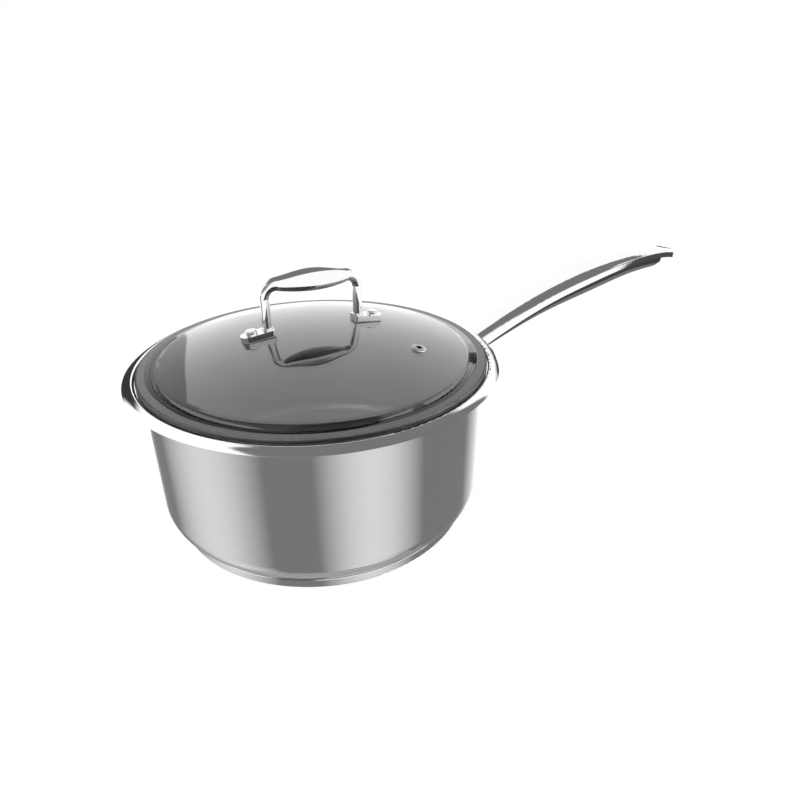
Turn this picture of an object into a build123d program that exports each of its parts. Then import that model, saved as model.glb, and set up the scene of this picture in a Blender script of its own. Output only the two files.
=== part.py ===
from build123d import *
import math
import os

# Saucepan with a glass lid, in millimetres.
# The origin is the centre of the base's underside, +Z is up and +X runs along the long handle.

# Pot, drawn from one sheet. Bend radii are those of the sheet's outer face.
inner_radius = 100.0
wall = 0.8
pan_height = 98.8
corner_radius = 14.5

# Pouring rim: flare, ledge that carries the lid, short riser, tight crown and broad lip that falls outwards
flare_radius = 2.7
ledge_width = 0.6
riser_radius = 1.0
riser_turn = 60.0
riser_run = 0.9
crown_radius = 0.5
lip_fall = 14.0
lip_radius = 11.2
lip_turn = 26.0

# Capsule base
base_inset = 7.3
core_thickness = 4.6
capsule_sheet = 0.6
capsule_wall_height = 6.4
capsule_edge = 0.8

# Glass lid, which drops into the rim's ledge
glass = 3.0
lid_side_gap = 0.5
lid_gap = 0.3
flange_width = 7.6
step_width = 5.0
step_rise = 2.8
dome_radius = 290.0
glass_blend = 1.3

# Lid bow: two posts, two bends and a swollen grip
post_spread = 56.8
post_diameter = 5.4
grip_level = 29.6
grip_crown = 1.1
bow_bend = 8.0
grip_width = 18.0
grip_height = 13.2
grip_fullness = 4.6
swell_reach = 35.0
collar_margin = 0.6
collar_height = 1.7
collar_sink = 0.9
tenon_depth = 0.7
bow_clearance = 0.05

# Foot plates and their fastenings, stacked along the glass's own slope
screw_offset = 9.0
foot_thickness = 3.2
foot_width = 9.6
foot_inner_margin = 3.9
foot_inner_corner = 1.5
foot_outer_margin = 6.6
gasket_thickness = 0.5
gasket_inset = 0.4
nut_head_diameter = 6.8
nut_head_height = 2.2
nut_head_edge = 0.6
sleeve_diameter = 5.0
sleeve_clearance = 0.1
sleeve_relief = 0.3
glass_hole_clearance = 0.7
screw_diameter = 3.0
screw_clearance = 0.05
screw_engagement = 4.0
screw_tip_room = 0.5
screw_head_diameter = 6.6
screw_head_height = 2.0
screw_head_edge = 0.8
washer_diameter = 9.0
washer_thickness = 0.6
inner_gasket_diameter = 10.4
inner_gasket_thickness = 0.9

# Steam vent
vent_distance = 65.0
vent_bearing = -45.0
vent_bore = 3.4
vent_tube_wall = 0.7
vent_flange_diameter = 8.4
vent_flange_height = 1.2
vent_flange_edge = 0.7
vent_roll_diameter = 7.2
vent_roll_height = 0.7
vent_washer_diameter = 8.0
vent_washer_thickness = 0.8
vent_clearance = 0.1

# Long handle. Places along it are shares of its reach, from the wall to the tip.
handle_reach = 200.0
root_depth = 3.0
root_drop = 10.2
handle_rise = 48.2
highest_at = 0.74
tip_drop = 5.4
neck_half_width = 6.8
grip_half_width = 12.8
widest_at = 0.765
side_height = 14.6
tongue_height = 5.6
taper_start = 0.45
taper_end = 0.97
arch_fullness = 2.4
tip_round = 12.0
tip_thinning = 0.4
casting_wall = 1.8
hollow_start = 0.07
hollow_end = 0.83
belly_root = 4.0
belly_depth = 10.2
deepest_at = 0.62
belly_fullness = 2.4
cover_inset = 0.2
cover_wall = 1.0
cover_start = 0.05
cover_end = 0.875
cover_nose = 9.0
seam_lap = 0.6
hollow_lap = 2.0
hang_length = 14.0
hang_width = 8.5
hang_setback = 10.1

# Handle flange and the blind rivets that hold it to the pot
flange_thickness = 3.0
flange_lobe = 8.0
rivet_pitch = 32.0
rivet_upper_drop = 18.8
rivet_lower_drop = 37.2
rivet_diameter = 5.0
rivet_clearance = 0.05
rivet_head_diameter = 9.0
rivet_head_height = 1.8
rivet_head_edge = 1.2

# Places worked out from the sizes above
outer_radius = inner_radius + wall
base_radius = outer_radius - base_inset
floor_under = capsule_sheet + core_thickness
rim_rise = (
    flare_radius
    + wall
    + (riser_radius + crown_radius) * (1 - math.cos(math.radians(riser_turn)))
    + riser_run * math.sin(math.radians(riser_turn))
)
flare_start = pan_height - rim_rise
ledge_top = flare_start + flare_radius + wall

lid_radius = outer_radius + flare_radius + ledge_width - lid_side_gap
glass_low = ledge_top + lid_gap
flange_top = glass_low + glass
step_foot = lid_radius - flange_width
shoulder_radius = step_foot - step_width
shoulder_height = flange_top + step_rise
dome_centre = shoulder_height - math.sqrt(dome_radius**2 - shoulder_radius**2)
dome_top = dome_centre + dome_radius

post_place = post_spread / 2
screw_place = post_place + screw_offset
foot_top = gasket_thickness + foot_thickness
gasket_low = -glass - inner_gasket_thickness
washer_low = gasket_low - washer_thickness
sleeve_low = gasket_low + sleeve_relief
sleeve_hole = sleeve_diameter / 2 + sleeve_clearance
vent_tube = vent_bore / 2 + vent_tube_wall
vent_washer_low = -glass - vent_washer_thickness

flange_face = outer_radius + flange_thickness
tip = outer_radius + handle_reach
root_share = -root_depth / handle_reach
nose_share = cover_end - cover_nose / handle_reach


def formed_sheet(start, moves, thickness):
    """Outline of a bent sheet. The path is its right-hand face, and a positive bend turns left."""
    place = Vector(*start)
    heading = 0.0
    lines = []

    def across(distance):
        return place + Vector(distance, 0).rotate(Axis.Z, heading + 90)

    lines.append(Line(across(0), across(thickness)))
    for size, turn in moves:
        right = across(0)
        left = across(thickness)
        if turn == 0:
            place += Vector(size, 0).rotate(Axis.Z, heading)
            lines += [Line(right, across(0)), Line(left, across(thickness))]
        else:
            way = math.copysign(1, turn)
            centre = across(way * size)
            begin = heading - way * 90
            lines.append(CenterArc(centre, size, begin, turn))
            lines.append(CenterArc(centre, size - way * thickness, begin, turn))
            place = centre + Vector(size, 0).rotate(Axis.Z, begin + turn)
            heading += turn
    lines.append(Line(across(0), across(thickness)))
    return make_face(Curve() + lines)


def spun(outline):
    """Solid of revolution from an outline of radius against height."""
    return revolve(Plane.XZ * outline, Axis.Z)


def post(frame, radius, low, high):
    """Cylinder along a frame's own Z, between two heights."""
    return frame * Pos(0, 0, low) * extrude(Circle(radius), high - low)


def ring(frame, outer, inner, low, high):
    """Washer along a frame's own Z, between two heights."""
    return post(frame, outer, low, high) - post(frame, inner, low, high)


def end_edges(solid, direction):
    """Edges of the flat end that lies furthest along a direction."""
    return solid.faces().sort_by(Axis((0, 0, 0), direction))[-1].edges()


def dome_frame(distance, bearing):
    """Frame on the glass's upper face: Z leaves the glass, X points away from the lid's middle."""
    lean = math.asin(distance / dome_radius)
    away = Vector(1, 0, 0).rotate(Axis.Z, bearing)
    normal = away * math.sin(lean) + Vector(0, 0, math.cos(lean))
    along = away * math.cos(lean) - Vector(0, 0, math.sin(lean))
    place = normal * dome_radius + Vector(0, 0, dome_centre)
    return Plane(origin=place, x_dir=along, z_dir=normal)


def dome_ball(radius):
    """Ball whose surface is the glass's upper or lower face."""
    return Pos(0, 0, dome_centre) * Sphere(radius)


def make_pan_body():
    """Deep-drawn pot: floor, rounded corner, straight wall and recessed pouring rim in one sheet."""
    moves = [
        (outer_radius - corner_radius, 0),
        (corner_radius, 90),
        (flare_start - floor_under - corner_radius, 0),
        (flare_radius, -90),
        (ledge_width, 0),
        (riser_radius, riser_turn),
        (riser_run, 0),
        (crown_radius, -riser_turn - lip_fall),
        (lip_radius, -lip_turn),
    ]
    return spun(formed_sheet((0, floor_under), moves, wall))


def make_base_core():
    """Aluminium disc between the capsule and the pot's floor, shaped to the rounded corner above it."""
    disc = post(Plane.XY, base_radius - capsule_sheet, capsule_sheet, capsule_wall_height)
    pot = post(Plane.XY, outer_radius, floor_under, floor_under + 2 * corner_radius)
    return disc - fillet(end_edges(pot, (0, 0, -1)), corner_radius)


def make_base_capsule():
    """Shallow steel cup that wraps the disc and stands on the hob."""
    cup = post(Plane.XY, base_radius, 0, capsule_wall_height)
    cup = fillet(end_edges(cup, (0, 0, -1)), capsule_edge)
    return cup - post(Plane.XY, base_radius - capsule_sheet, capsule_sheet, capsule_wall_height)


def make_lid_glass(screw_frames, vent_frame):
    """Pressed glass of even thickness: flat flange, low step and shallow dome."""
    slope = math.atan2(step_rise, step_width)
    inner_dome = dome_radius - glass
    inner_foot = step_foot - glass * math.tan(slope / 2)
    # the lower step runs parallel to the upper one until it meets the inner dome
    rise = glass_low - dome_centre
    half = inner_foot * math.cos(slope) - rise * math.sin(slope)
    run = half + math.sqrt(half**2 - inner_foot**2 - rise**2 + inner_dome**2)
    inner_shoulder = inner_foot - run * math.cos(slope)
    upper = math.degrees(math.acos(shoulder_radius / dome_radius))
    lower = math.degrees(math.acos(inner_shoulder / inner_dome))
    middle = (0, dome_centre)
    rim = Polyline(
        (shoulder_radius, shoulder_height),
        (step_foot, flange_top),
        (lid_radius, flange_top),
        (lid_radius, glass_low),
        (inner_foot, glass_low),
        (inner_shoulder, glass_low + run * math.sin(slope)),
    )
    crown = CenterArc(middle, dome_radius, upper, 90 - upper)
    under = CenterArc(middle, inner_dome, lower, 90 - lower)
    axis = Line(under @ 1, crown @ 1)
    outline = make_face(Curve() + [crown, rim, under, axis])
    corners = [v for v in outline.vertices() if v.X > glass]
    pane = spun(fillet(corners, glass_blend))
    for frame in screw_frames:
        pane -= post(frame, sleeve_diameter / 2 + glass_hole_clearance, -2 * glass, glass)
    return pane - post(vent_frame, vent_tube + vent_clearance, -2 * glass, glass)


def post_seat(frame):
    """Height of the collar's seat, sunk into the foot plate under the middle of a post."""
    corner = frame.origin + frame.z_dir * foot_top
    along = (math.copysign(post_place, corner.X) - corner.X) / frame.x_dir.X
    return corner.Z + along * frame.x_dir.Z - collar_sink


def make_lid_bow(seat):
    """Bow lofted through oval sections that swell from the posts to the middle of the grip."""
    bend_top = dome_top + grip_level - grip_crown
    elbow = bend_top - bow_bend
    inner = post_place - bow_bend

    def oval(x, z, heading, distance):
        swell = math.cos(math.radians(90 * min(1, distance / swell_reach))) ** 2
        wide = post_diameter + (grip_width - post_diameter) * swell
        tall = post_diameter + (grip_height - post_diameter) * swell
        ahead = Vector(1, 0, 0).rotate(Axis.Y, -heading)
        frame = Plane(origin=(x, 0, z), x_dir=(0, 1, 0), z_dir=ahead)
        if distance >= swell_reach:
            return frame * Circle(post_diameter / 2)
        power = 2 / (2 + (grip_fullness - 2) * swell)
        points = []
        for step in range(16):
            angle = math.pi * step / 8
            across = math.copysign(abs(math.cos(angle)) ** power, math.cos(angle))
            up = math.copysign(abs(math.sin(angle)) ** power, math.sin(angle))
            points.append((wide / 2 * across, tall / 2 * up))
        return frame * make_face(Spline(*points, periodic=True))

    # stations give place, heading and distance from the middle along the bow
    left_bend = [(-post_place, elbow, 90, post_spread)]
    for turn in (22.5, 45, 67.5, 90):
        angle = math.radians(turn)
        x = -inner - bow_bend * math.cos(angle)
        z = elbow + bow_bend * math.sin(angle)
        left_bend.append((x, z, 90 - turn, inner + bow_bend * (math.pi / 2 - angle)))
    right_bend = [(-x, z, -heading, distance) for x, z, heading, distance in reversed(left_bend)]
    grip = []
    for share in spread(-1, 1, 10):
        z = bend_top + grip_crown * (1 + math.cos(math.pi * share)) / 2
        rise = -grip_crown * math.pi / 2 / inner * math.sin(math.pi * share)
        grip.append((inner * share, z, math.degrees(math.atan(rise)), abs(inner * share)))
    bow = loft([oval(*station) for station in grip])
    for way, bend in ((-1, left_bend), (1, right_bend)):
        frame = Plane(origin=(way * post_place, 0, 0))
        bow += loft([oval(*station) for station in bend])
        bow += post(frame, post_diameter / 2, seat - tenon_depth, elbow)
        bow += post(frame, post_diameter / 2 + collar_margin, seat, seat + collar_height)
    return bow


def foot_outline(inset):
    """Plate outline in the frame of its screw: round outer end, squarer inner end under the post."""
    half = foot_width / 2 - inset
    inner = -screw_offset - foot_inner_margin + inset
    round_centre = foot_outer_margin - foot_width / 2
    block = Pos((inner + round_centre) / 2, 0) * Rectangle(round_centre - inner, 2 * half)
    corners = block.vertices().sort_by(Axis.X)[:2]
    return fillet(corners, foot_inner_corner) + Pos(round_centre, 0) * Circle(half)


def make_lid_foot(frame, seat):
    """Foot plate with a hole for the sleeve and a stepped socket for the post."""
    plate = frame * Pos(0, 0, gasket_thickness) * extrude(foot_outline(0), foot_thickness)
    plate -= post(frame, sleeve_hole, 0, 2 * foot_top)
    upright = Plane(origin=(math.copysign(post_place, frame.origin.X), 0, seat))
    plate -= post(upright, post_diameter / 2 + collar_margin + bow_clearance, 0, foot_width)
    return plate - post(upright, post_diameter / 2 + bow_clearance, -tenon_depth, foot_width)


def make_foot_gasket(frame):
    """Silicone pad under the foot plate, shaped to the dome."""
    pad = frame * Pos(0, 0, -gasket_thickness) * extrude(foot_outline(gasket_inset), 2 * gasket_thickness)
    return pad - post(frame, sleeve_hole, -foot_top, foot_top) - dome_ball(dome_radius)


def make_cap_nut(frame):
    """Plain round head on the foot plate, with a threaded sleeve down through the glass."""
    head = post(frame, nut_head_diameter / 2, foot_top, foot_top + nut_head_height)
    head = fillet(end_edges(head, frame.z_dir), nut_head_edge)
    sleeve = post(frame, sleeve_diameter / 2, sleeve_low, foot_top)
    bore = post(frame, screw_diameter / 2, sleeve_low, sleeve_low + screw_engagement + screw_tip_room)
    return head + sleeve - bore


def make_lid_screw(frame):
    """Pan-head screw from inside the lid."""
    head = post(frame, screw_head_diameter / 2, washer_low - screw_head_height, washer_low)
    head = fillet(end_edges(head, -frame.z_dir), screw_head_edge)
    return head + post(frame, screw_diameter / 2 - screw_clearance, washer_low, sleeve_low + screw_engagement)


def make_screw_washer(frame):
    """Steel washer between the screw's head and the inner gasket."""
    return ring(frame, washer_diameter / 2, screw_diameter / 2 + screw_clearance, washer_low, gasket_low)


def make_inner_gasket(frame):
    """Silicone washer whose upper face follows the underside of the dome."""
    pad = ring(frame, inner_gasket_diameter / 2, sleeve_hole, gasket_low, -glass / 2)
    return pad & dome_ball(dome_radius - glass)


def make_vent_eyelet(frame):
    """Steam vent: domed flange on top, tube through the glass, rolled edge below."""
    flange = post(frame, vent_flange_diameter / 2, 0, vent_flange_height)
    flange = fillet(end_edges(flange, frame.z_dir), vent_flange_edge)
    roll = post(frame, vent_roll_diameter / 2, vent_washer_low - vent_roll_height, vent_washer_low)
    tube = post(frame, vent_tube, vent_washer_low, 0)
    bore = post(frame, vent_bore / 2, vent_washer_low - vent_roll_height, vent_flange_height)
    return flange + tube + roll - bore


def make_vent_washer(frame):
    """Silicone washer between the glass and the vent's rolled edge."""
    pad = ring(frame, vent_washer_diameter / 2, vent_tube + vent_clearance, vent_washer_low, -glass / 2)
    return pad & dome_ball(dome_radius - glass)


def quarter_wave(share, peak):
    """Sine that reaches one at the peak share."""
    return math.sin(math.pi / 2 * share / peak)


def tip_shrink(share):
    """Falls from one to nothing over the rounded tip."""
    past = (share * handle_reach - (handle_reach - tip_round)) / tip_round
    return math.sqrt(1 - min(1, max(0, past)) ** 2)


def side_drop(share):
    """Height of the handle's side, which thins from the grip to the tongue."""
    through = min(1, max(0, (share - taper_start) / (taper_end - taper_start)))
    thin = (1 - math.cos(math.pi * through)) / 2
    return side_height + (tongue_height - side_height) * thin


def crest_line(share):
    """Height of the handle's top: it climbs to its highest place and then falls towards the tip."""
    climb = handle_rise * quarter_wave(min(share, highest_at), highest_at)
    past = max(0, share - highest_at) / (1 - highest_at)
    return pan_height - root_drop + climb - tip_drop * past**2


def seam_line(share):
    """Height of the seam between the handle's casting and its cover."""
    return crest_line(share) - side_drop(share)


def half_width(share):
    """Half the handle's width: slim neck, wide grip, round tip."""
    swell = quarter_wave(share, widest_at) ** 2
    return (neck_half_width + (grip_half_width - neck_half_width) * swell) * tip_shrink(share)


def belly(share):
    """Depth of the handle below its seam."""
    return belly_root + (belly_depth - belly_root) * quarter_wave(share, deepest_at) ** 2


def arch(share, base, half, height, fullness):
    """Arched section across the handle, standing on a straight base line or hanging from it."""
    points = []
    for step in range(11):
        angle = math.pi * step / 10
        side = math.copysign(abs(math.cos(angle)) ** (2 / fullness), math.cos(angle))
        points.append((half * side, height * math.sin(angle) ** (2 / fullness)))
    up = math.copysign(1, height)
    curve = Spline(*points, tangents=[(0, up), (0, -up)])
    frame = Plane(origin=(outer_radius + share * handle_reach, 0, base), x_dir=(0, 1, 0), z_dir=(1, 0, 0))
    return frame * make_face(Curve() + [curve, Line(points[-1], points[0])])


def upper_arch(share, inset, lap):
    """Section of the casting, or of its hollow when inset by the wall and lapped below the seam."""
    thin = 1 - tip_thinning * (1 - tip_shrink(share))
    height = side_drop(share) * thin
    base = seam_line(share) + (side_drop(share) - height) / 2 - lap
    return arch(share, base, half_width(share) - inset, height - inset + lap, arch_fullness)


def lower_arch(share, inset, lap):
    """Section of the cover, or of its hollow when inset by the wall."""
    half = half_width(share) - cover_inset - inset
    return arch(share, seam_line(share) + lap, half, inset - belly(share) - lap, belly_fullness)


def spread(low, high, count):
    """Even shares between two ends."""
    return [low + (high - low) * step / count for step in range(count + 1)]


def nose_profile():
    """Side view of the cover's space, with a rounded lower corner where the cover ends."""
    back = outer_radius + cover_start * handle_reach
    front = outer_radius + cover_end * handle_reach
    bottom = seam_line(nose_share) - belly(nose_share)
    side = Pos(front, bottom) * Rectangle(2 * cover_nose, pan_height, align=(Align.MAX, Align.MIN))
    side = fillet(side.vertices().group_by(Axis.Y)[0].sort_by(Axis.X)[-1], cover_nose)
    length = front - cover_nose - back
    side += Pos(front - cover_nose, 0) * Rectangle(length, 2 * tip, align=(Align.MAX, Align.MIN))
    return extrude(Plane.XZ * side, grip_half_width, both=True)


def handle_solids():
    """Outer forms of the handle: above the seam, the root block below it, and the cover."""
    tip_shares = [1 - tip_round / handle_reach * (1 - math.sin(math.radians(a))) for a in (0, 22, 44, 64, 82)]
    above = loft([upper_arch(share, 0, 0) for share in spread(root_share, tip_shares[0], 9)])
    above += loft([upper_arch(share, 0, 0) for share in tip_shares])
    root = loft([lower_arch(share, 0, seam_lap) for share in spread(root_share, cover_start, 2)])
    below = loft([lower_arch(share, 0, seam_lap) for share in spread(cover_start, cover_end, 7)])
    return above, root, below & nose_profile()


def flange_plate():
    """Three-lobed fixing flange, curved to the pot's wall."""
    high = pan_height - rivet_upper_drop
    low = pan_height - rivet_lower_drop
    triangle = make_face(Polyline((-rivet_pitch / 2, high), (0, low), (rivet_pitch / 2, high), close=True))
    plate = Plane.YZ * Pos(0, 0, inner_radius / 2) * extrude(offset(triangle, flange_lobe), outer_radius)
    return (plate & post(Plane.XY, flange_face, 0, pan_height)) - post(Plane.XY, outer_radius, 0, pan_height)


def make_handle_casting(above, root, rivet_frames):
    """Cast handle: flange, slim neck, hollow arched grip and flat tongue with a hanging slot."""
    casting = above + root - post(Plane.XY, outer_radius, 0, pan_height) + flange_plate()
    inside = spread(hollow_start, hollow_end, 6)
    casting -= loft([upper_arch(share, casting_wall, hollow_lap) for share in inside])
    slot = Pos(tip - hang_setback, 0, 0) * extrude(SlotOverall(hang_length, hang_width), 2 * pan_height)
    casting -= slot
    for frame in rivet_frames:
        casting -= post(frame, rivet_diameter / 2, inner_radius, flange_face + rivet_head_height)
    return casting


def make_handle_cover(above, below):
    """Pressed trough that closes the hollow under the grip."""
    inside = spread(cover_start + cover_wall / handle_reach, nose_share, 5)
    return below - above - loft([lower_arch(share, cover_wall, hollow_lap) for share in inside])


def rivet_frame(across, drop):
    """Frame on the pan's axis whose Z points out through a rivet."""
    bearing = math.asin(across / flange_face)
    outward = (math.cos(bearing), math.sin(bearing), 0)
    return Plane(origin=(0, 0, pan_height - drop), x_dir=(0, 0, 1), z_dir=outward)


def make_rivet(frame):
    """Blind stud rivet: welded to the pot's outer face, with a low head set over the flange."""
    head = post(frame, rivet_head_diameter / 2, outer_radius, flange_face + rivet_head_height)
    head = fillet(end_edges(head, frame.z_dir), rivet_head_edge)
    head -= post(Plane.XY, flange_face, 0, pan_height)
    shank = post(frame, rivet_diameter / 2 - rivet_clearance, inner_radius, flange_face + wall)
    return head + (shank - post(Plane.XY, outer_radius, 0, pan_height))


def build_nodes():
    """Every piece of the saucepan by name."""
    rivets = {
        "left": rivet_frame(rivet_pitch / 2, rivet_upper_drop),
        "right": rivet_frame(-rivet_pitch / 2, rivet_upper_drop),
        "lower": rivet_frame(0, rivet_lower_drop),
    }
    feet = {"front": dome_frame(screw_place, 0), "rear": dome_frame(screw_place, 180)}
    vent = dome_frame(vent_distance, vent_bearing)
    seat = post_seat(feet["front"])
    above, root, below = handle_solids()

    nodes = {
        "pan_body": make_pan_body(),
        "base_core": make_base_core(),
        "base_capsule": make_base_capsule(),
        "handle_casting": make_handle_casting(above, root, rivets.values()),
        "handle_cover": make_handle_cover(above, below),
        "lid_glass": make_lid_glass(feet.values(), vent),
        "lid_bow": make_lid_bow(seat),
        "vent_eyelet": make_vent_eyelet(vent),
        "vent_washer": make_vent_washer(vent),
    }
    for name, frame in rivets.items():
        nodes[f"handle_rivet_{name}"] = make_rivet(frame)
    for name, frame in feet.items():
        nodes[f"lid_foot_{name}"] = make_lid_foot(frame, seat)
        nodes[f"foot_gasket_{name}"] = make_foot_gasket(frame)
        nodes[f"cap_nut_{name}"] = make_cap_nut(frame)
        nodes[f"inner_gasket_{name}"] = make_inner_gasket(frame)
        nodes[f"screw_washer_{name}"] = make_screw_washer(frame)
        nodes[f"lid_screw_{name}"] = make_lid_screw(frame)
    return nodes


os.makedirs("parts", exist_ok=True)
for node, solid in build_nodes().items():
    export_step(solid, f"parts/{node}.step")
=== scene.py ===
import math

import bpy
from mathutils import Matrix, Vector

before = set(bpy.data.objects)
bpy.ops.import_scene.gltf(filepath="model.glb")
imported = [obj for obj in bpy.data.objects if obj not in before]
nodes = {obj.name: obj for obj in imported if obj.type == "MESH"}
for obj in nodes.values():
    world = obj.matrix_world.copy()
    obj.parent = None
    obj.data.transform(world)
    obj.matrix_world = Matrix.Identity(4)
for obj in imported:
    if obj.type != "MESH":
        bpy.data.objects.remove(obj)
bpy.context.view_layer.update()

scene = bpy.context.scene
scene.view_settings.view_transform = "Standard"
ends = ("front", "rear")
print("frame loaded with", len(nodes), "pieces")


# node helpers

def newMaterial(name):
    material = bpy.data.materials.new(name)
    material.use_nodes = True
    tree = material.node_tree
    return material, tree, tree.nodes["Principled BSDF"]


def bareMaterial(name):
    # only an output node, for the floor and the shells
    material, tree, _ = newMaterial(name)
    tree.nodes.clear()
    return material, tree, addNode(tree, "ShaderNodeOutputMaterial").inputs["Surface"]


def addNode(tree, kind, **values):
    node = tree.nodes.new(kind)
    for key, value in values.items():
        if hasattr(node, key):
            setattr(node, key, value)
        else:
            node.inputs[key].default_value = value
    return node


def addShaders(tree, first, second):
    both = addNode(tree, "ShaderNodeAddShader")
    tree.links.new(first, both.inputs[0])
    tree.links.new(second, both.inputs[1])
    return both.outputs[0]


def mathOf(tree, operation, *inputs):
    # each input is a number or a socket
    node = addNode(tree, "ShaderNodeMath", operation=operation)
    for socket, value in zip(node.inputs, inputs):
        if isinstance(value, (int, float)):
            socket.default_value = value
        else:
            tree.links.new(value, socket)
    return node.outputs[0]


def mapTo(tree, source, low, high, fromLow=0.0, fromHigh=1.0, smooth=False):
    ramp = addNode(tree, "ShaderNodeMapRange")
    ramp.interpolation_type = "SMOOTHSTEP" if smooth else "LINEAR"
    sockets = ("From Min", "From Max", "To Min", "To Max")
    for socket, value in zip(sockets, (fromLow, fromHigh, low, high)):
        ramp.inputs[socket].default_value = value
    tree.links.new(source, ramp.inputs["Value"])
    return ramp.outputs["Result"]


def objectPlace(tree):
    return addNode(tree, "ShaderNodeTexCoord").outputs["Object"]


def objectAxes(tree):
    axes = addNode(tree, "ShaderNodeSeparateXYZ")
    tree.links.new(objectPlace(tree), axes.inputs[0])
    return axes.outputs


def stretchedNoise(tree, stretch, detail=3.0):
    # noise drawn out along the axes with the small stretch
    mapping = addNode(tree, "ShaderNodeMapping", Scale=stretch)
    noise = addNode(tree, "ShaderNodeTexNoise", Scale=1.0, Detail=detail)
    tree.links.new(objectPlace(tree), mapping.inputs["Vector"])
    tree.links.new(mapping.outputs["Vector"], noise.inputs["Vector"])
    return noise.outputs["Fac"]


# which sockets of a Mix node carry colour
mixSockets = {"factor": 0, "first": 6, "second": 7, "result": 2}


def mixColours(tree, factor, first, second):
    # first and second are each a colour or a socket
    mix = addNode(tree, "ShaderNodeMix", data_type="RGBA")
    tree.links.new(factor, mix.inputs[mixSockets["factor"]])
    for side, colour in (("first", first), ("second", second)):
        socket = mix.inputs[mixSockets[side]]
        if isinstance(colour, tuple):
            socket.default_value = (*colour, 1)
        else:
            tree.links.new(colour, socket)
    return mix.outputs[mixSockets["result"]]


def colourAndRough(tree, shader, pattern, look):
    # colour and roughness both follow one pattern
    colour = mixColours(tree, pattern, look["dark"], look["light"])
    rough = mapTo(tree, pattern, look["roughLow"], look["roughHigh"])
    tree.links.new(colour, shader.inputs["Base Color"])
    tree.links.new(rough, shader.inputs["Roughness"])


def dress(material, *names):
    for name in names:
        mesh = nodes[name].data
        mesh.materials.clear()
        mesh.materials.append(material)
        mesh.polygons.foreach_set("use_smooth", [True] * len(mesh.polygons))


def dressWhere(material, name, chosen):
    # one more material, on the faces whose middle and normal are chosen
    mesh = nodes[name].data
    mesh.materials.append(material)
    for face in mesh.polygons:
        if chosen(face.center, face.normal):
            face.material_index = len(mesh.materials) - 1


# satin steel of the pot, with very fine lines round it
satin = {
    "light": (0.72, 0.72, 0.72), "dark": (0.67, 0.67, 0.67),
    "roughLow": 0.06, "roughHigh": 0.10, "anisotropy": 0.3, "turn": 0.25,
    "lines": (3, 3, 2400), "detail": 4.0, "bump": 0.01, "depth": 0.0001, "rim": None,
}
# the base capsule's upper rim is shaded as rounded between two heights, so it catches a thin light line
capsule = {**satin, "rim": (0.0050, 0.0066), "round": 0.0016}


def makeSatin(name, look):
    material, tree, shader = newMaterial(name)
    lines = stretchedNoise(tree, look["lines"], look["detail"])
    colourAndRough(tree, shader, lines, look)
    shader.inputs["Metallic"].default_value = 1.0
    shader.inputs["Anisotropic"].default_value = look["anisotropy"]
    shader.inputs["Anisotropic Rotation"].default_value = look["turn"]
    tangent = addNode(tree, "ShaderNodeTangent", direction_type="RADIAL", axis="Z")
    tree.links.new(tangent.outputs["Tangent"], shader.inputs["Tangent"])
    bump = addNode(tree, "ShaderNodeBump", Strength=look["bump"], Distance=look["depth"])
    tree.links.new(lines, bump.inputs["Height"])
    if look["rim"]:
        fall = mapTo(tree, objectAxes(tree)["Z"], 1, 0, *look["rim"], smooth=True)
        rounded = addNode(tree, "ShaderNodeBump", Distance=look["round"])
        tree.links.new(fall, rounded.inputs["Height"])
        tree.links.new(rounded.outputs["Normal"], bump.inputs["Normal"])
    tree.links.new(bump.outputs["Normal"], shader.inputs["Normal"])
    return material


# mirror-polished steel with a faint polishing haze
mirror = {
    "light": (0.87, 0.87, 0.87), "dark": (0.83, 0.83, 0.83),
    "roughLow": 0.02, "roughHigh": 0.05, "haze": (45, 45, 45),
}
# softer polish on the handle's lower cover
cover = {
    "light": (0.72, 0.72, 0.72), "dark": (0.68, 0.68, 0.68),
    "roughLow": 0.10, "roughHigh": 0.15, "haze": (45, 45, 45),
}


def makeMirror(name, look):
    material, tree, shader = newMaterial(name)
    colourAndRough(tree, shader, stretchedNoise(tree, look["haze"]), look)
    shader.inputs["Metallic"].default_value = 1.0
    return material


# smoked tempered glass with a hard, bright surface and a frosted ground edge; from its bent shoulder
# outwards the colour is painted nearly black and the coat thinned, as painted shade
# shoulder: the radii at which the painted shade begins and is full, and the radius of the shoulder's
# foot
# ground: the radii between which the frosting sets in
pane = {
    "light": (0.31, 0.31, 0.31), "dark": (0.29, 0.29, 0.29), "roughLow": 0.0, "roughHigh": 0.01,
    "specks": (60, 60, 60), "detail": 2.0, "ior": 1.52, "coat": 1.0, "coatIor": 1.6, "coatRough": 0.01,
    "shoulder": (0.0922, 0.0930, 0.0985), "edge": (0.03, 0.03, 0.03), "edgeCoat": 0.3, "rise": 0.0070,
    "ground": (0.1018, 0.1026), "groundTint": (0.30, 0.30, 0.30), "groundRough": 0.45,
}


def radiusFromAxis(tree):
    flat = addNode(tree, "ShaderNodeVectorMath", operation="MULTIPLY")
    flat.inputs[1].default_value = (1, 1, 0)
    length = addNode(tree, "ShaderNodeVectorMath", operation="LENGTH")
    tree.links.new(objectPlace(tree), flat.inputs[0])
    tree.links.new(flat.outputs["Vector"], length.inputs[0])
    return length.outputs["Value"]


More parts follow.
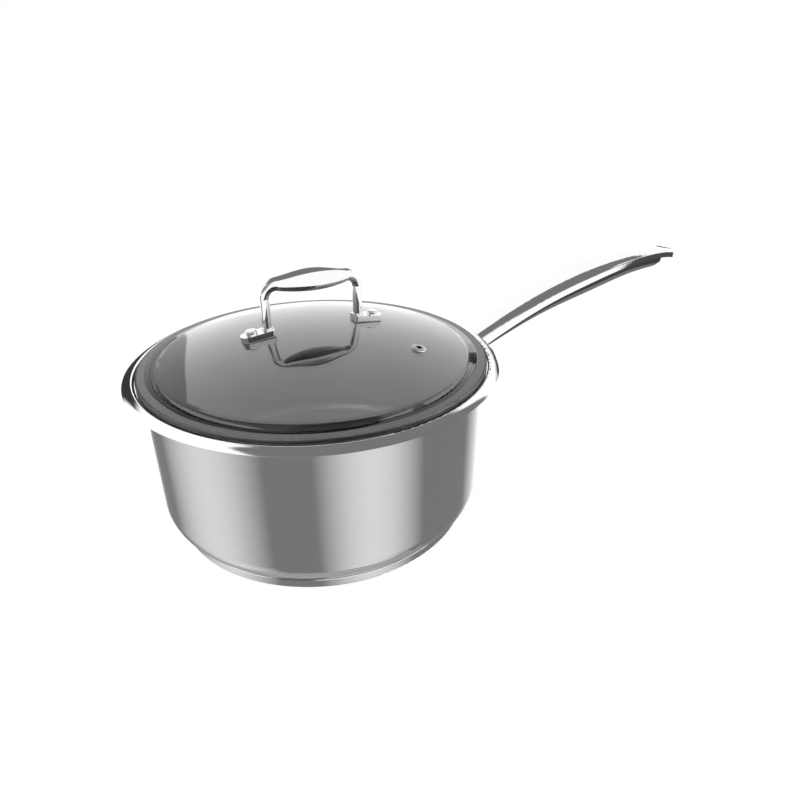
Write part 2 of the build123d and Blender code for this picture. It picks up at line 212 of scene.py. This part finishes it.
def makeGlass(name, look):
    material, tree, shader = newMaterial(name)
    specks = stretchedNoise(tree, look["specks"], look["detail"])
    radius = radiusFromAxis(tree)
    begins, full, foot = look["shoulder"]
    # mask of the painted shade on the shoulder ring
    shoulderShadeMask = mapTo(tree, radius, 0, 1, begins, full, smooth=True)
    frosted = mapTo(tree, radius, 0, 1, *look["ground"], smooth=True)
    tint = mixColours(tree, specks, look["dark"], look["light"])
    # painted shade: the colour goes nearly black from the shoulder outwards
    tint = mixColours(tree, shoulderShadeMask, tint, look["edge"])
    tint = mixColours(tree, frosted, tint, look["groundTint"])
    tree.links.new(tint, shader.inputs["Base Color"])
    rough = mapTo(tree, specks, look["roughLow"], look["roughHigh"])
    rough = mathOf(tree, "MULTIPLY_ADD", frosted, look["groundRough"], rough)
    tree.links.new(rough, shader.inputs["Roughness"])
    # the step of the shoulder is shaded steeper than it is
    bump = addNode(tree, "ShaderNodeBump", Distance=look["rise"])
    tree.links.new(mapTo(tree, radius, 1, 0, begins, foot, smooth=True), bump.inputs["Height"])
    tree.links.new(bump.outputs["Normal"], shader.inputs["Normal"])
    tree.links.new(bump.outputs["Normal"], shader.inputs["Coat Normal"])
    shader.inputs["Transmission Weight"].default_value = 1.0
    shader.inputs["IOR"].default_value = look["ior"]
    # the coat thins under the painted shade, so the shoulder reflects less
    coat = mapTo(tree, shoulderShadeMask, look["coat"], look["edgeCoat"])
    coat = mathOf(tree, "MULTIPLY", coat, mathOf(tree, "SUBTRACT", 1, frosted))
    tree.links.new(coat, shader.inputs["Coat Weight"])
    shader.inputs["Coat IOR"].default_value = look["coatIor"]
    shader.inputs["Coat Roughness"].default_value = look["coatRough"]
    return material


# soft silicone and raw aluminium, mostly hidden
silicone = {
    "light": (0.60, 0.60, 0.60), "dark": (0.52, 0.52, 0.52), "roughLow": 0.5, "roughHigh": 0.65,
    "grain": (900, 900, 900), "metallic": 0.0,
}
aluminium = {
    "light": (0.80, 0.80, 0.81), "dark": (0.72, 0.72, 0.73), "roughLow": 0.35, "roughHigh": 0.5,
    "grain": (900, 900, 900), "metallic": 1.0,
}


def makeMatt(name, look):
    material, tree, shader = newMaterial(name)
    colourAndRough(tree, shader, stretchedNoise(tree, look["grain"]), look)
    shader.inputs["Metallic"].default_value = look["metallic"]
    return material


def eachEnd(*pieces):
    return [f"{piece}_{end}" for piece in pieces for end in ends]


rivets = [f"handle_rivet_{side}" for side in ("left", "right", "lower")]
fittings = eachEnd("lid_foot", "cap_nut", "screw_washer", "lid_screw")

polished = makeMirror("polishedSteel", mirror)
rubber = makeMatt("siliconeGrey", silicone)
dress(makeSatin("panSteel", satin), "pan_body")
dress(makeSatin("capsuleSteel", capsule), "base_capsule")
dress(makeMirror("coverSteel", cover), "handle_cover")
dress(polished, "handle_casting", "lid_bow", "vent_eyelet", *rivets, *fittings)
dress(makeGlass("lidGlass", pane), "lid_glass")
dress(rubber, "vent_washer", *eachEnd("foot_gasket", "inner_gasket"))
dress(makeMatt("coreAluminium", aluminium), "base_core")


# the pot's dull inside, its darker bottom and painted shade on the walls of the hanging slot, each with
# the limits that pick its faces
inside = {
    "light": (0.74, 0.74, 0.74), "dark": (0.68, 0.68, 0.68), "roughLow": 0.34, "roughHigh": 0.42,
    "grain": (4, 4, 300), "metallic": 1.0, "radius": 0.1004, "above": 0.003,
}
bottom = {
    "light": (0.50, 0.50, 0.50), "dark": (0.44, 0.44, 0.44), "roughLow": 0.30, "roughHigh": 0.40,
    "grain": (60, 60, 60), "metallic": 1.0, "below": 0.015, "facingUp": 0.7,
}
# the slot's walls are coloured nearly black as painted shade in the recess
slotWall = {
    "light": (0.10, 0.10, 0.10), "dark": (0.06, 0.06, 0.06), "roughLow": 0.4, "roughHigh": 0.5,
    "grain": (900, 900, 900), "metallic": 1.0,
    "start": 0.2836, "end": 0.2978, "halfWidth": 0.0044, "facingUp": 0.5,
}


def isInside(middle, normal):
    return math.hypot(middle.x, middle.y) < inside["radius"] and middle.z > inside["above"]


def isBottom(middle, normal):
    facesUp = normal.z > bottom["facingUp"]
    return isInside(middle, normal) and middle.z < bottom["below"] and facesUp


def isSlotWall(middle, normal):
    along = slotWall["start"] < middle.x < slotWall["end"]
    upright = abs(normal.z) < slotWall["facingUp"]
    return along and abs(middle.y) < slotWall["halfWidth"] and upright


dressWhere(makeMatt("insideSteel", inside), "pan_body", isInside)
dressWhere(makeMatt("bottomSteel", bottom), "pan_body", isBottom)
# painted shade on the walls of the hanging slot
dressWhere(makeMatt("slotPaintedShade", slotWall), "handle_casting", isSlotWall)
print("materials assigned")


# floor, white all round, with a soft shadow
ground = {"size": 14.0, "white": (0.2, 0.2, 0.2), "glow": 0.86, "drop": 0.0004}


def makeFloor(look):
    bpy.ops.mesh.primitive_plane_add(size=look["size"], location=(0, 0, -look["drop"]))
    floor = bpy.context.object
    floor.name = "studioFloor"
    material, tree, surface = bareMaterial("studioFloor")
    diffuse = addNode(tree, "ShaderNodeBsdfDiffuse", Color=(*look["white"], 1))
    glow = addNode(tree, "ShaderNodeEmission", Strength=look["glow"])
    tree.links.new(addShaders(tree, diffuse.outputs[0], glow.outputs[0]), surface)
    floor.data.materials.append(material)
    floor.visible_glossy = False


makeFloor(ground)

# reflector shells round the set, each seen only in the shiny faces of its own pieces
# patches and lamps: bearing, half width, lowest, highest and softness in degrees, then level
# two more numbers make a patch lean: it moves round by height * (lean + curve * height)
potLamps = ((167, 44, -62, -10, 6, 0.68), (-77, 40, -62, -5, 6, 0.70), (58, 48, -42, -10, 6, 0.95))
shells = {
    "satinShell": {
        "size": 6.3, "base": 0.25, "clear": False, "pieces": ("pan_body",),
        "patches": (
            (150, 45, 5, 63, 2, 1.5), (41.5, 42.5, -15, 44, 3, 1.5, 0.52, 0),
            (104, 13, -10, 28, 3, 0.05), (28, 6, 7, 15, 2, 0.08), (0, 200, -100, -62, 6, 0.45),
        ),
        "lamps": potLamps,
    },
    "capsuleShell": {
        "size": 6.25, "base": 0.25, "clear": True, "pieces": ("base_capsule",),
        "patches": ((0, 200, 5, 100, 4, 1.8), (-134, 17, 5, 80, 2, 0.05)),
        "lamps": potLamps,
    },
    "handleShell": {
        "size": 6.2, "base": 1.15, "clear": True, "pieces": ("handle_casting", *rivets),
        "patches": (
            (-75, 43, 1, 36, 3, 0.20), (-34.5, 8.5, -18, 22, 1.5, 0.08), (-40, 7, -7, 22, 1.5, 0.10),
            (180, 60, 2, 36, 5, 0.25),
        ),
        "lamps": (),
    },
    "coverShell": {
        "size": 6.1, "base": 0.23, "clear": True, "pieces": ("handle_cover",),
        "patches": ((-38, 24, -32, 10, 6, 0.07), (0, 200, -100, -58, 6, 0.8)),
        "lamps": (),
    },
    "lidShell": {
        "size": 6.0, "base": 1.15, "clear": True, "pieces": ("lid_glass",),
        "patches": ((-125, 56, -50, 80, 4, 0.05), (160, 71.3, -30, 46, 0.3, 0.45, 0.255, 0.00544)),
        "lamps": (),
    },
    "bowShell": {
        "size": 5.9, "base": 1.15, "clear": True, "pieces": ("lid_bow", "vent_eyelet", *fittings),
        "patches": (
            (0, 200, 40, 100, 4, 0.20), (60, 48, 27, 100, 3, 0.20), (168, 13, -45, -4, 3, 0.06),
            (-160, 35, 2, 38, 5, 0.30),
        ),
        "lamps": (),
    },
}
shellMesh = {"segments": 64, "ring_count": 32}
leastSoftness = 2  # degrees, for a patch's upper and lower ends
halfTurn = 180


def turnFrom(tree, heading, bearing):
    # degrees either way from a bearing
    apart = mathOf(tree, "SUBTRACT", heading, bearing)
    return mathOf(tree, "ABSOLUTE", mathOf(tree, "WRAP", apart, halfTurn, -halfTurn))


def heightWindow(tree, height, low, high, soft):
    above = mapTo(tree, height, 0, 1, low - soft, low + soft, smooth=True)
    below = mapTo(tree, height, 1, 0, high - soft, high + soft, smooth=True)
    return mathOf(tree, "MULTIPLY", above, below)


def paintShell(tree, look):
    axes = objectAxes(tree)
    rise = mathOf(tree, "ARCSINE", mathOf(tree, "DIVIDE", axes["Z"], look["size"]))
    height = mathOf(tree, "DEGREES", rise)
    heading = mathOf(tree, "DEGREES", mathOf(tree, "ARCTAN2", axes["Y"], axes["X"]))
    strength = look["base"]
    for bearing, half, low, high, soft, level, *leaning in look["patches"]:
        upright = heading
        if leaning:
            lean, curve = leaning
            slope = mathOf(tree, "MULTIPLY_ADD", height, curve, lean)
            upright = mathOf(tree, "SUBTRACT", heading, mathOf(tree, "MULTIPLY", height, slope))
        turn = turnFrom(tree, upright, bearing)
        across = mapTo(tree, turn, 1, 0, half - soft, half + soft, smooth=True)
        window = heightWindow(tree, height, low, high, max(soft, leastSoftness))
        share = mathOf(tree, "MULTIPLY", across, window)
        change = mathOf(tree, "SUBTRACT", level, strength)
        strength = mathOf(tree, "MULTIPLY_ADD", share, change, strength)
    for bearing, half, low, high, soft, peak in look["lamps"]:
        # falls off as a cosine to nothing at the lamp's edge
        turn = mathOf(tree, "MINIMUM", turnFrom(tree, heading, bearing), half)
        profile = mathOf(tree, "COSINE", mathOf(tree, "MULTIPLY", turn, math.pi / 2 / half))
        share = mathOf(tree, "MULTIPLY", profile, heightWindow(tree, height, low, high, soft))
        strength = mathOf(tree, "MULTIPLY_ADD", share, peak, strength)
    return strength


def makeShell(name, look):
    bpy.ops.mesh.primitive_uv_sphere_add(radius=look["size"], **shellMesh)
    dome = bpy.context.object
    dome.name = name
    material, tree, surface = bareMaterial(name)
    material.cycles.emission_sampling = "NONE"
    glow = addNode(tree, "ShaderNodeEmission")
    tree.links.new(paintShell(tree, look), glow.inputs["Strength"])
    shine = glow.outputs[0]
    if look["clear"]:
        # lets the larger shells show through
        shine = addShaders(tree, addNode(tree, "ShaderNodeBsdfTransparent").outputs[0], shine)
    tree.links.new(shine, surface)
    dome.data.materials.append(material)
    dome.visible_camera = False
    dome.visible_diffuse = False
    dome.visible_transmission = False
    dome.visible_shadow = False
    group = bpy.data.collections.new(name)
    for piece in look["pieces"]:
        group.objects.link(nodes[piece])
    dome.light_linking.receiver_collection = group


for shellName, shellLook in shells.items():
    makeShell(shellName, shellLook)

# world: white where it is seen, calmer where it lights
sky = {"seen": 1.0, "lighting": 0.75}


def makeWorld(look):
    world = bpy.data.worlds.new("studio")
    scene.world = world
    world.use_nodes = True
    tree = world.node_tree
    tree.nodes.clear()
    out = addNode(tree, "ShaderNodeOutputWorld")
    path = addNode(tree, "ShaderNodeLightPath").outputs
    seen = mathOf(tree, "MAXIMUM", path["Is Camera Ray"], path["Is Glossy Ray"])
    seen = mathOf(tree, "MAXIMUM", seen, path["Is Transmission Ray"])
    back = addNode(tree, "ShaderNodeBackground", Color=(1, 1, 1, 1))
    tree.links.new(mapTo(tree, seen, look["lighting"], look["seen"]), back.inputs["Strength"])
    tree.links.new(back.outputs[0], out.inputs[0])


makeWorld(sky)

# soft boxes: place and size in metres, watts, all turned to one point in the pot
lamps = {
    "keyBox": {"place": (-0.9, -0.7, 1.3), "size": 0.9, "power": 8.0},
    "fillBox": {"place": (1.1, -0.5, 0.9), "size": 0.8, "power": 4.0},
}
lampAim = (0, 0, 0.06)


def makeLamps(boxes):
    for name, box in boxes.items():
        data = bpy.data.lights.new(name, "AREA")
        data.shape = "DISK"
        data.size = box["size"]
        data.energy = box["power"]
        lamp = bpy.data.objects.new(name, data)
        scene.collection.objects.link(lamp)
        lamp.location = box["place"]
        aim = Vector(lampAim) - lamp.location
        lamp.rotation_euler = aim.to_track_quat("-Z", "Y").to_euler()
        lamp.visible_glossy = False


makeLamps(lamps)
print("studio set")

# camera at the photograph's view; angles in degrees, heading from +X, lens and sensor in millimetres
lensView = {
    "place": (-0.11144, -0.32365, 0.2434), "heading": 62.394, "pitch": 27.436,
    "lens": 26.986, "sensor": 36.0, "nearest": 0.01,
}


def makeCamera(look):
    data = bpy.data.cameras.new("viewCamera")
    data.lens = look["lens"]
    data.sensor_width = look["sensor"]
    data.clip_start = look["nearest"]
    camera = bpy.data.objects.new("viewCamera", data)
    scene.collection.objects.link(camera)
    heading, pitch = math.radians(look["heading"]), math.radians(look["pitch"])
    level = math.cos(pitch)
    ahead = Vector((math.cos(heading) * level, math.sin(heading) * level, -math.sin(pitch)))
    camera.location = look["place"]
    camera.rotation_euler = ahead.to_track_quat("-Z", "Y").to_euler()
    scene.camera = camera


makeCamera(lensView)
print("camera set")
